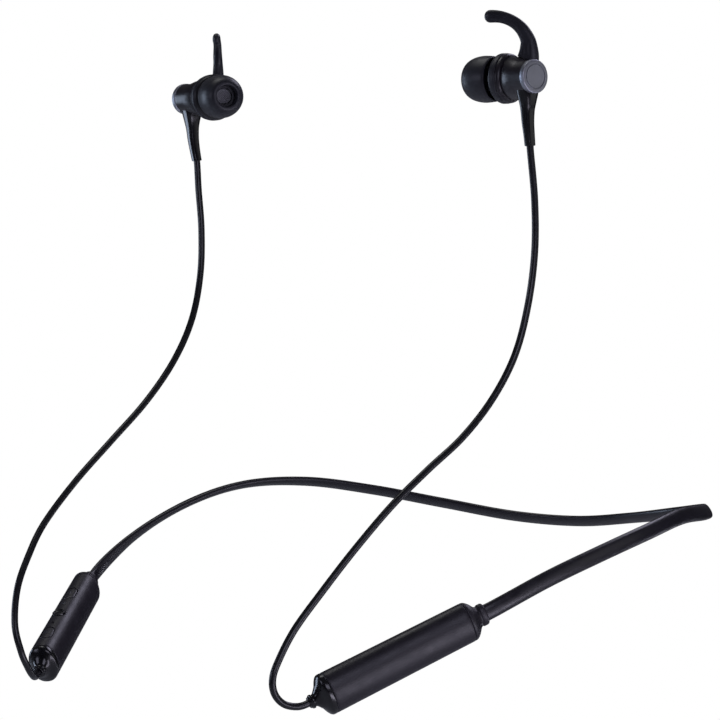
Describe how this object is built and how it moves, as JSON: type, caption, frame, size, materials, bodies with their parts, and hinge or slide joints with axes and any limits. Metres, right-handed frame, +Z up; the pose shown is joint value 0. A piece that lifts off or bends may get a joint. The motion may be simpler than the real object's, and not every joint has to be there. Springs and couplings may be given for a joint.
{
  "type": "neckband earphones",
  "caption": "Wireless in-ear earphones on a thin flexible neckband with a control pod, a battery pod and winged ear pieces.",
  "frame": {"origin": "middle of the band's inner face, where it rests on the nape of the neck", "axes": "+Z up as worn, -Y towards the wearer's front, +X towards the wearer's left"},
  "size_m": [0.1811, 0.18, 0.1839],
  "materials": {
    "matt_plastic": "matt, faintly blue black",
    "gloss_plastic": "glossy black",
    "band_rubber": "satin black elastomer",
    "cable_jacket": "smooth semi-gloss black",
    "silicone": "matt black silicone",
    "anodised": "satin dark anodised",
    "mesh_metal": "fine woven mesh",
    "steel": "bare",
    "magnet": "nickel plated",
    "board": "green solder mask",
    "chip": "moulded black",
    "cell": "pouch foil",
    "foam": "open foam",
    "light_pipe": "clear light pipe"
  },
  "bodies": {
    "nape": {"band_centre": "band_rubber", "band_left_flex": "band_rubber", "band_right_flex": "band_rubber", "wire_centre": "steel"},
    "left_arm": {"band_left_arm": "band_rubber", "wire_left": "steel", "battery_shell": "matt_plastic", "battery_front_cap": "gloss_plastic", "battery_rear_cap": "matt_plastic", "battery_cell": "cell", "protection_board": "board", "foam_pad": "foam", "left_cable": "cable_jacket"},
    "right_arm": {"band_right_arm": "band_rubber", "wire_right": "steel", "control_shell": "matt_plastic", "control_front_cap": "gloss_plastic", "control_rear_cap": "matt_plastic", "button_switches": "steel", "control_board": "board", "radio_chip": "chip", "microphone": "steel", "status_light": "light_pipe", "usb_socket": "steel", "right_cable": "cable_jacket"},
    "plus_key": {"button_plus": "matt_plastic"},
    "power_key": {"button_power": "gloss_plastic"},
    "minus_key": {"button_minus": "matt_plastic"},
    "port_flap": {"usb_cover": "silicone"},
    "left_earpiece": {"left_front_housing": "matt_plastic", "left_nozzle_mesh": "mesh_metal", "left_driver": "steel", "left_rear_housing": "gloss_plastic", "left_snap_magnet": "magnet", "left_end_cap": "anodised", "left_stem": "gloss_plastic"},
    "left_tip": {"left_ear_tip": "silicone"},
    "left_wing": {"left_ear_wing": "silicone"},
    "right_earpiece": {"right_front_housing": "matt_plastic", "right_nozzle_mesh": "mesh_metal", "right_driver": "steel", "right_rear_housing": "gloss_plastic", "right_snap_magnet": "magnet", "right_end_cap": "anodised", "right_stem": "gloss_plastic"},
    "right_tip": {"right_ear_tip": "silicone"},
    "right_wing": {"right_ear_wing": "silicone"}
  },
  "joints": [
    {"name": "left_arm_spread", "type": "hinge", "parent": "nape", "child": "left_arm", "pos_m": [0.0665, -0.032, 0.004], "axis": [0, 0, 1], "range_deg": [-10, 20], "stiffness_Nm_per_rad": 0.3, "deforming": ["band_left_flex"]},
    {"name": "right_arm_spread", "type": "hinge", "parent": "nape", "child": "right_arm", "pos_m": [-0.0665, -0.036, 0.008], "axis": [0, 0, 1], "range_deg": [-20, 10], "stiffness_Nm_per_rad": 0.3, "deforming": ["band_right_flex"]},
    {"name": "plus_press", "type": "slide", "parent": "right_arm", "child": "plus_key", "axis": [-0.188, 0.4047, -0.8949], "range_m": [0, 0.0004], "stiffness_N_per_m": 1500, "springref_m": -0.0003},
    {"name": "power_press", "type": "slide", "parent": "right_arm", "child": "power_key", "axis": [-0.188, 0.4047, -0.8949], "range_m": [0, 0.0004], "stiffness_N_per_m": 1500, "springref_m": -0.0003},
    {"name": "minus_press", "type": "slide", "parent": "right_arm", "child": "minus_key", "axis": [-0.188, 0.4047, -0.8949], "range_m": [0, 0.0004], "stiffness_N_per_m": 1500, "springref_m": -0.0003},
    {"name": "port_flap_open", "type": "hinge", "parent": "right_arm", "child": "port_flap", "pos_m": [-0.07972, -0.1429, -0.02848], "axis": [0.188, -0.4047, 0.8949], "range_deg": [0, 110], "stiffness_Nm_per_rad": 0.0005},
    {"name": "left_twist", "type": "hinge", "parent": "left_arm", "child": "left_earpiece", "pos_m": [0.07669, -0.09676, 0.1033], "axis": [0.0325, -0.0924, 0.9952], "range_deg": [-60, 60], "stiffness_Nm_per_rad": 0.002},
    {"name": "left_tip_pull", "type": "slide", "parent": "left_earpiece", "child": "left_tip", "axis": [-0.9659, -0.2588, 0], "range_m": [0, 0.01]},
    {"name": "left_wing_turn", "type": "hinge", "parent": "left_earpiece", "child": "left_wing", "pos_m": [0.06728, -0.09742, 0.1213], "axis": [0.9659, 0.2588, 0], "range_deg": [-20, 20]},
    {"name": "right_twist", "type": "hinge", "parent": "right_arm", "child": "right_earpiece", "pos_m": [-0.07669, -0.09676, 0.1033], "axis": [-0.0325, -0.0924, 0.9952], "range_deg": [-60, 60], "stiffness_Nm_per_rad": 0.002},
    {"name": "right_tip_pull", "type": "slide", "parent": "right_earpiece", "child": "right_tip", "axis": [0.9659, -0.2588, 0], "range_m": [0, 0.01]},
    {"name": "right_wing_turn", "type": "hinge", "parent": "right_earpiece", "child": "right_wing", "pos_m": [-0.06728, -0.09742, 0.1213], "axis": [-0.9659, 0.2588, 0], "range_deg": [-20, 20]}
  ]
}
